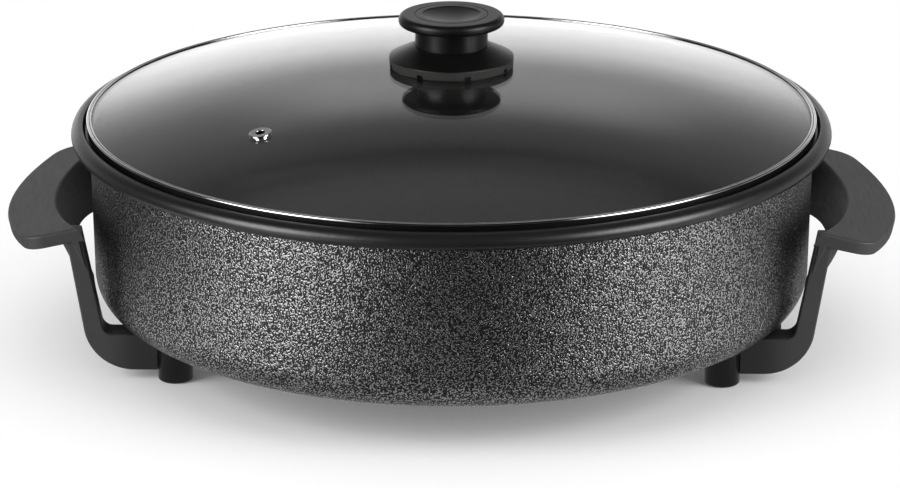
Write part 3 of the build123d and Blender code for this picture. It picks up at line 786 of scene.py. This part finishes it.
def band_finish(look, outside, top):
    """Polished roll and lip; painted shade, dark and rough, in the seam between them and on the
    skirt below the roll.
    """
    material, graph, position = start_finish("polished steel band")
    place = graph.effect(round_place, position=position)
    lines = round_lines(graph, place, 0.0009)
    stain = stains(graph, position)
    off = graph.calc("SUBTRACT", place["Radius"], outside - 2 * ROLL_RADIUS)
    seam = graph.step(graph.calc("ABSOLUTE", off), *SEAM_WIDTH)
    skirt = graph.step(place["Height"], *(top + part * ROLL_RADIUS for part in BAND_SKIRT))
    # painted shade where the seam and the skirt only show the dark gap
    painted_shade_zone = graph.calc("MAXIMUM", seam, skirt)
    steel = graph.tint(stain, look.steel_colour, shaded(look.steel_colour, 0.8))
    bright = graph.total(graph.vary(lines, 0.05, 0.07), graph.product(stain, 0.02))
    end_finish(graph, {
        "Base Color": graph.tint(painted_shade_zone, steel, BAND_PAINTED_SHADE),
        "Metallic": 1.0, "Roughness": graph.between(painted_shade_zone, bright, 0.5),
        "Normal": graph.bump(lines, 0.000001, 0.5),
    })
    return material


def arc(middle, across, up, turn, count):
    """Points of an ellipse's arc: middle plus half axes times cosine and sine of an even turn."""
    angles = np.radians(np.linspace(*turn, count))
    wide = middle[0] + across * np.cos(angles)
    high = middle[1] + up * np.sin(angles)
    return np.stack([wide, high], axis=-1)


def turned_mesh(name, profile, sides):
    """Closed ring: a closed profile of radius and height, anticlockwise, carried round the axis.

    Each point is the profile's radius along one of the even directions, at the profile's height.
    """
    turn = np.linspace(0.0, 2 * np.pi, sides, endpoint=False)
    count = len(profile)
    radius, height = profile[:, 0], profile[:, 1]
    along = [np.outer(np.cos(turn), radius), np.outer(np.sin(turn), radius)]
    level = np.broadcast_to(height, (sides, count))
    points = np.stack([*along, level], axis=-1).reshape(-1, 3)
    here = np.arange(sides * count)
    onward = here - here % count + (here + 1) % count
    quads = np.stack([here, here + count, onward + count, onward], axis=-1) % len(points)
    mesh = bpy.data.meshes.new(name)
    mesh.from_pydata(points.tolist(), [], quads.tolist())
    mesh.polygons.foreach_set("use_smooth", np.ones(len(quads), dtype=bool))
    mesh.set_sharp_from_angle(angle=math.radians(SHARP_ANGLE))
    return mesh


def place_piece(name, mesh, material, body, node):
    """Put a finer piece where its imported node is."""
    mesh.materials.append(material)
    piece = bpy.data.objects.new(name, mesh)
    bpy.context.scene.collection.objects.link(piece)
    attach(piece, body)
    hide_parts(node)


def band_profile():
    """Section of the steel band: skirt, rolled edge, seam, lip on the glass and a lip under it.

    The roll is most of a circle and the lip part of an ellipse. The room for the glass lies
    between two circles about the dome's centre, which follows from the glass's edge and top.
    """
    band_low, band_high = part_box("lid_band")
    glass_low, glass_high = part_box("lid_glass")
    outside, low, top = band_high[0], band_low[2], band_high[2]
    edge, dome_low = glass_high[0], glass_high[2] - GLASS_THICKNESS
    rise = dome_low - glass_low[2]
    inner = (edge ** 2 + rise ** 2) / (2 * rise)
    above = inner + GLASS_THICKNESS + GLASS_GAP
    below = inner - GLASS_GAP

    def height(ball, radius):
        """Height of a ball about the dome's centre, at a radius from the axis."""
        return dome_low - inner + math.sqrt(ball ** 2 - radius ** 2)

    room = edge + GLASS_GAP
    lip = outside - LIP_WIDTH
    low_lip = outside - LOW_LIP_WIDTH
    lip_half = (LIP_WIDTH - LIP_START * ROLL_RADIUS) / 2
    lip_foot = top - LIP_DROP * (top - height(above, lip))
    foot = (outside - SKIRT_SET_IN - SKIRT_ROUND, low + SKIRT_ROUND)
    roll = (outside - ROLL_RADIUS, top - ROLL_RADIUS)
    lip_middle = (lip + lip_half, top - LIP_SET_DOWN)
    parts = [
        arc(foot, SKIRT_ROUND, SKIRT_ROUND, (-90.0, 0.0), 6),
        arc(roll, ROLL_RADIUS, ROLL_RADIUS, ROLL_TURN, 30),
        [(outside - 2.0 * ROLL_RADIUS, top - SEAM_DEPTH)],
        arc(lip_middle, lip_half, LIP_RISE, LIP_TURN, 16),
        [(lip, lip_foot), (room, height(above, room))],
        [(room, height(below, room)), (low_lip, height(below, low_lip)), (low_lip, low)],
    ]
    return np.vstack(parts), outside, top


def disc_profile():
    """Section of the knob's disc: a flat ring with rounded edges, a small step and a shallow dish.

    The dish is the arc of a circle through its edge and its lowest point on the axis.
    """
    low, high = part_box("knob_disc")
    outside, bottom, top = high[0], low[2], high[2]
    ring = outside - DISC_RING_WIDTH
    dish = ring - DISC_STEP_WIDTH
    depth = DISC_DISH - DISC_STEP
    curve = (dish ** 2 + depth ** 2) / (2 * depth)
    reach = math.degrees(math.asin(dish / curve))
    edge = (outside - DISC_EDGE_ROUND, top - DISC_EDGE_ROUND)
    step = (ring + DISC_STEP_ROUND, top - DISC_STEP_ROUND)
    parts = [
        [(0.0, bottom), (outside, bottom)],
        arc(edge, DISC_EDGE_ROUND, DISC_EDGE_ROUND, (0.0, 90.0), 10),
        arc(step, DISC_STEP_ROUND, DISC_STEP_ROUND, (90.0, 180.0), 8),
        arc((0.0, top - DISC_DISH + curve), curve, curve, (reach - 90.0, -90.0), 24),
    ]
    return np.vstack(parts)


def disc_mesh():
    """Disc turned from its section, with the points on the axis joined."""
    mesh = turned_mesh("dished_disc", disc_profile(), DISC_SIDES)
    joined = bmesh.new()
    joined.from_mesh(mesh)
    bmesh.ops.remove_doubles(joined, verts=joined.verts, dist=JOIN_DISTANCE)
    joined.to_mesh(mesh)
    joined.free()
    return mesh


class PARTYPAN_OT_body(bpy.types.Operator):
    """Paint the pan: hammered outside, satin rim, non-stick inside, bare below"""

    bl_idname = "partypan.body"
    bl_label = "Finish the pan"

    def execute(self, context):
        dress(pan_finish(context.scene.party_pan.pan), "pan_body")
        return {"FINISHED"}


class PARTYPAN_OT_handles(bpy.types.Operator):
    """Finish the moulded handles and feet, and the screws that hold them"""

    bl_idname = "partypan.handles"
    bl_label = "Finish handles and feet"

    def execute(self, context):
        look = context.scene.party_pan.handles
        feet = [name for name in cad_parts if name.startswith(("foot_front", "foot_rear"))]
        matte = moulding_finish(
            "phenolic", look, shade=1.0, dull=0.56, gloss=0.5, streak=(1.0, 0.10, 1.0)
        )
        dark = moulding_finish(
            "phenolic feet", look, shade=0.25, dull=0.24, gloss=0.35, streak=(1.0, 1.0, 0.15)
        )
        dress(matte, "handle_left", "handle_right")
        dress(dark, *feet)
        dress(plated_finish(context.scene.party_pan.heater), "foot_screws", "foot_washers")
        return {"FINISHED"}


class PARTYPAN_OT_heater(bpy.types.Operator):
    """Finish the heating element, its contacts and the inlet guard"""

    bl_idname = "partypan.heater"
    bl_label = "Finish the heater"

    def execute(self, context):
        settings = context.scene.party_pan
        plated = plated_finish(settings.heater)
        guard = moulding_finish(
            "phenolic guard", settings.handles, shade=0.8, dull=0.48, gloss=0.5,
            streak=(0.15, 1.0, 1.0),
        )
        dress(sheath_finish(settings.heater), "heating_element")
        dress(ceramic_finish(settings.heater), "terminal_beads")
        dress(plated, "terminal_pins", "probe_sleeve", "guard_screws")
        dress(cast_finish(settings.pan), "sleeve_saddle")
        dress(guard, "inlet_guard")
        return {"FINISHED"}


class PARTYPAN_OT_lid(bpy.types.Operator):
    """Finish the glass, its steel band and the vent"""

    bl_idname = "partypan.lid"
    bl_label = "Finish the lid"

    def execute(self, context):
        look = context.scene.party_pan.lid
        vent = metal_finish(
            "polished steel", look.steel_colour, darker=0.8, rough=0.05, spacing=0.0009,
            relief=0.000002,
        )
        dress(glass_finish(look), "lid_glass")
        dress(vent, "vent_eyelet")
        profile, outside, top = band_profile()
        steel = band_finish(look, outside, top)
        band = turned_mesh("rolled_band", profile, BAND_SIDES)
        place_piece("rolled_band", band, steel, "lid", "lid_band")
        return {"FINISHED"}


class PARTYPAN_OT_knob(bpy.types.Operator):
    """Finish the knob, its rosette and what fastens it"""

    bl_idname = "partypan.knob"
    bl_label = "Finish the knob"

    def execute(self, context):
        look = context.scene.party_pan.knob
        black = knob_finish(look)
        brass = metal_finish(
            "brass", look.brass_colour, darker=0.6, rough=0.22, spacing=0.0004, relief=0.00004
        )
        dress(black, "knob_base", "knob_grip")
        place_piece("dished_disc", disc_mesh(), black, "lid", "knob_disc")
        dress(brass, "knob_insert")
        dress(plated_finish(context.scene.party_pan.heater), "knob_screw", "knob_washer")
        dress(silicone_finish(look), "knob_gasket", "knob_lower_gasket")
        return {"FINISHED"}


def floor_disc(radius, rings=24, sides=96):
    """Flat round sheet: each point is its ring's radius along its side's direction, at height 0."""
    radii = np.linspace(0.0, 1.0, rings + 1)[1:] * radius
    turns = np.linspace(0.0, 2 * np.pi, sides, endpoint=False)
    reach, turn = np.meshgrid(radii, turns, indexing="ij")
    points = np.stack([reach * np.cos(turn), reach * np.sin(turn), np.zeros_like(reach)], axis=-1)
    points = np.vstack([points.reshape(-1, 3), np.zeros((1, 3))])
    inner = np.arange((rings - 1) * sides)
    onward = (inner // sides) * sides + (inner + 1) % sides
    quads = np.stack([inner, inner + sides, onward + sides, onward], axis=-1)
    first = np.arange(sides)
    fan = np.stack([np.full(sides, rings * sides), first, (first + 1) % sides], axis=-1)
    mesh = bpy.data.meshes.new("floor")
    mesh.from_pydata(points.tolist(), [], quads.tolist() + fan.tolist())
    return mesh


def floor_finish(look):
    """Pale paper floor that turns into the white backdrop away from the pan.

    In mirrors it glows by itself: dimly near the pan, brighter in two pools before it.
    """
    material, graph, position = start_finish("studio floor")
    radius = graph.effect(round_place, position=position)["Radius"]
    fibre = graph.noise(position, 700.0, detail=3.0, roughness=0.6)
    paper = graph.add("ShaderNodeBsdfPrincipled", {
        "Base Color": look.floor_colour, "Roughness": graph.vary(fibre, 0.75, 0.85),
        "Specular IOR Level": 0.2,
    })
    white = graph.add("ShaderNodeEmission", {"Strength": 1.0})
    parts = graph.parts(position)
    pools = graph.product(
        graph.step(graph.calc("ABSOLUTE", parts[0]), *POOL_ASIDE),
        graph.step(parts[1], *POOL_FORWARD), graph.step(radius, *POOL_RADIUS), POOL_LEVEL,
    )
    near = graph.span(radius, 0.20, 0.40, 0.42, 0.06)
    glow = graph.add("ShaderNodeEmission", {"Strength": graph.total(pools, near)})
    path = graph.add("ShaderNodeLightPath").outputs
    through = graph.calc("MAXIMUM", path["Is Camera Ray"], path["Is Transmission Ray"])
    away = graph.product(graph.step(radius, *FLOOR_FADE), through)
    seen = graph.mixed(away, paper, white)
    show(graph, graph.mixed(path["Is Glossy Ray"], seen, glow))
    return material


def patch(graph, ray, aim, size, level):
    """Round patch of light: its level within the core's angle of the aim, 0 from its reach on."""
    reach, core = (math.cos(math.radians(angle)) for angle in size)
    return graph.product(graph.step(graph.dot(ray, aim), reach, core), level)


def backdrop_slope(graph, height):
    """Brightness of the backdrop by the height of the ray."""
    slope = graph.add("ShaderNodeValToRGB", {0: height})
    stops = slope.color_ramp.elements
    while len(stops) < len(BACKDROP_CLIMB):
        stops.new(0.5)
    for stop, (place, level) in zip(stops, BACKDROP_CLIMB):
        stop.position = place
        stop.color = (level, level, level, 1.0)
    return slope.outputs[0]


def mirrored_studio(graph, look):
    """What mirrors and glass see: a graded backdrop behind the pan and soft patches of light."""
    ray = graph.add("ShaderNodeTexCoord").outputs["Generated"]
    across, along, height = graph.parts(ray)
    aside = graph.calc("ABSOLUTE", across)
    leaning = graph.span(across, -0.3, 0.3, 1.45, 1.05)
    glow = graph.product(
        graph.step(height, *GLOW_FOOT), graph.step(height, *GLOW_HEAD),
        graph.step(aside, *GLOW_ASIDE), GLOW_LEVEL,
    )
    lit = graph.total(graph.product(backdrop_slope(graph, height), leaning), glow)
    narrow = graph.span(aside, 0.35, 0.65, 1.0, 0.3)
    foot = graph.step(height, *BACKDROP_FOOT)
    behind = graph.product(graph.step(along, *BACKDROP_BEHIND), lit, foot, narrow)
    table = graph.span(height, -0.10, -0.30, 0.02, 0.045)
    walls = graph.product(graph.step(aside, *SIDE_WALLS), SIDE_WALL_LEVEL)
    patches = [patch(graph, ray, aim, LOW_PATCH_SIZE, level) for aim, level in LOW_PATCHES]
    climb = math.radians(SIDE_PATCH_CLIMB)
    for turn in SIDE_PATCH_TURNS:
        aim = around(math.radians(turn), math.cos(climb), math.sin(climb))
        level = SIDE_PATCH_GAIN * look.softbox_level
        patches.append(patch(graph, ray, aim, SIDE_PATCH_SIZE, level))
    return graph.total(behind, table, walls, *patches)


def white_room(look):
    """World: white to the camera, a studio to mirrors and glass, even light otherwise."""
    world = bpy.data.worlds.new("studio")
    world.use_nodes = True
    world.node_tree.nodes.clear()
    graph = Graph(world.node_tree)
    path = graph.add("ShaderNodeLightPath").outputs
    camera = path["Is Camera Ray"]
    sharp = graph.calc("MAXIMUM", path["Is Glossy Ray"], path["Is Transmission Ray"])
    direct = graph.calc("MAXIMUM", camera, sharp)
    seen = graph.between(camera, mirrored_studio(graph, look), 1.0)
    level = graph.between(direct, look.room_level, seen)
    light = graph.add("ShaderNodeBackground", {"Color": WHITE, "Strength": level})
    graph.add("ShaderNodeOutputWorld", {"Surface": light.outputs[0]})
    bpy.context.scene.world = world


def softbox(name, place, target, size, level):
    """Rectangular soft light of a given brightness, turned towards a point.

    Camera, mirrors and glass don't see it: they see the world's patches in its place.
    """
    lamp = bpy.data.lights.new(name, "AREA")
    lamp.shape = "RECTANGLE"
    lamp.size, lamp.size_y = size
    lamp.energy = level * math.pi * size[0] * size[1]
    box = bpy.data.objects.new(name, lamp)
    box.location = place
    box.rotation_euler = (Vector(target) - Vector(place)).to_track_quat("-Z", "Y").to_euler()
    box.visible_camera = False
    box.visible_glossy = False
    box.visible_transmission = False
    bpy.context.scene.collection.objects.link(box)


def set_camera(scene, look):
    """Camera before the pan, a little to one side and above."""
    camera = bpy.data.objects.new("camera", bpy.data.cameras.new("camera"))
    camera.data.sensor_width = SENSOR_WIDTH
    camera.data.lens = LENS
    camera.location = around(CAMERA_SWING, look.camera_distance, look.camera_height)
    camera.rotation_euler = (math.pi / 2 - CAMERA_DIP, 0.0, CAMERA_SWING + CAMERA_ASIDE)
    scene.collection.objects.link(camera)
    scene.camera = camera


class PARTYPAN_OT_stage(bpy.types.Operator):
    """Set the floor, the light and the camera"""

    bl_idname = "partypan.stage"
    bl_label = "Set the stage"

    def execute(self, context):
        look = context.scene.party_pan.stage
        floor = bpy.data.objects.new("floor", floor_disc(look.floor_radius))
        floor.data.materials.append(floor_finish(look))
        context.scene.collection.objects.link(floor)
        white_room(look)
        level_aim = (0.0, 0.0, SOFTBOX_HEIGHT)
        for name, turn in SOFTBOX_TURNS.items():
            place = around(math.radians(turn), SOFTBOX_DISTANCE, SOFTBOX_HEIGHT)
            softbox(name, place, level_aim, SOFTBOX_SIZE, look.softbox_level)
        softbox("softbox_top", TOP_LIGHT_PLACE, PAN_MIDDLE, TOP_LIGHT_SIZE, look.top_level)
        set_camera(context.scene, look)
        context.scene.view_settings.view_transform = "Standard"
        return {"FINISHED"}


class PARTYPAN_PT_sidebar(bpy.types.Panel):
    """Lists the steps of the part's looks"""

    bl_label = "Party pan"
    bl_space_type = "VIEW_3D"
    bl_region_type = "UI"
    bl_category = "Party pan"

    def draw(self, context):
        for operator in OPERATORS:
            self.layout.operator(operator.bl_idname)


OPERATORS = (
    PARTYPAN_OT_body, PARTYPAN_OT_handles, PARTYPAN_OT_heater, PARTYPAN_OT_lid, PARTYPAN_OT_knob,
    PARTYPAN_OT_stage,
)
GROUPS = (PanFinish, HandleFinish, HeaterFinish, LidFinish, KnobFinish, StageLook, PartyPan)


def register():
    for kind in (*GROUPS, *OPERATORS, PARTYPAN_PT_sidebar):
        bpy.utils.register_class(kind)
    bpy.types.Scene.party_pan = PointerProperty(type=PartyPan)


def unregister():
    del bpy.types.Scene.party_pan
    for kind in reversed((*GROUPS, *OPERATORS, PARTYPAN_PT_sidebar)):
        bpy.utils.unregister_class(kind)


def main():
    """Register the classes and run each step."""
    register()
    for operator in OPERATORS:
        family, step = operator.bl_idname.split(".")
        getattr(getattr(bpy.ops, family), step)()


if __name__ == "__main__":
    main()
